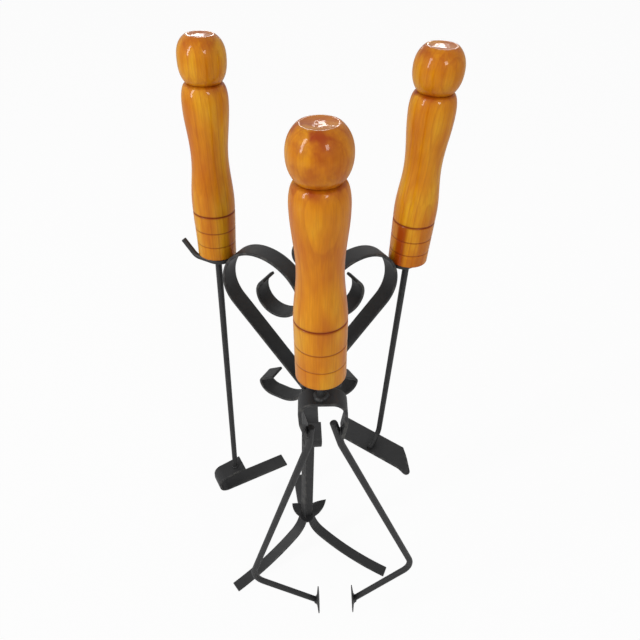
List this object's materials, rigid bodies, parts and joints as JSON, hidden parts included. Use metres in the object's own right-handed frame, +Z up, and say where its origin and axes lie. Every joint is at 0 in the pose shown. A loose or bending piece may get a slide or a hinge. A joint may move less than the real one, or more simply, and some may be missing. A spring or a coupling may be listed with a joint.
{
  "type": "fireplace tool set",
  "caption": "Fireplace tongs, scraper and shovel with turned wooden handles, hanging on a black scrolled flat-bar stand with curved legs.",
  "frame": {"origin": "the point on the floor under the post's axis", "axes": "+Z up along the post; the tongs hang at the front, towards -Y; the scraper hangs at -X and the shovel at +X"},
  "size_m": [0.271, 0.267, 0.6604],
  "materials": {
    "black_iron": "black satin paint on hand-forged mild steel",
    "varnished_wood": "turned pine with amber gloss varnish and burned grooves"
  },
  "bodies": {
    "stand": {"post": "black_iron", "post_ring": "black_iron", "leaf_collar": "black_iron", "leg_left": "black_iron", "leg_right": "black_iron", "leg_back": "black_iron", "arm_left": "black_iron", "arm_right": "black_iron", "arm_front": "black_iron", "scroll_left": "black_iron", "scroll_right": "black_iron", "scroll_front": "black_iron", "hook_left": "black_iron", "hook_right": "black_iron", "hook_front": "black_iron"},
    "tongs": {"tongs_handle": "varnished_wood", "tongs_rod": "black_iron", "tongs_bow": "black_iron"},
    "tongs_left": {"tongs_spring_left": "black_iron", "tongs_arm_left": "black_iron", "tongs_disc_left": "black_iron"},
    "tongs_right": {"tongs_spring_right": "black_iron", "tongs_arm_right": "black_iron", "tongs_disc_right": "black_iron"},
    "scraper": {"scraper_handle": "varnished_wood", "scraper_rod": "black_iron", "scraper_blade": "black_iron"},
    "shovel": {"shovel_handle": "varnished_wood", "shovel_rod": "black_iron", "shovel_blade": "black_iron"}
  },
  "joints": [
    {"name": "tongs_lift", "type": "slide", "parent": "stand", "child": "tongs", "axis": [0, -0.8192, 0.5736], "range_m": [0, 0.08]},
    {"name": "scraper_lift", "type": "slide", "parent": "stand", "child": "scraper", "axis": [-0.433, 0.25, 0.866], "range_m": [0, 0.1]},
    {"name": "shovel_lift", "type": "slide", "parent": "stand", "child": "shovel", "axis": [0.433, 0.25, 0.866], "range_m": [0, 0.1]},
    {"name": "tongs_squeeze_left", "type": "hinge", "parent": "tongs", "child": "tongs_left", "pos_m": [-0.00989, -0.12273, 0.41499], "axis": [0, -1, 0], "range_deg": [-1, 3], "stiffness_Nm_per_rad": 40},
    {"name": "tongs_squeeze_right", "type": "hinge", "parent": "tongs", "child": "tongs_right", "pos_m": [0.0301, -0.12273, 0.41618], "axis": [0, 1, 0], "range_deg": [-1, 3], "stiffness_Nm_per_rad": 40}
  ],
  "couplings": [
    {"joint": "tongs_squeeze_right", "follows": "tongs_squeeze_left", "ratio": 1}
  ]
}
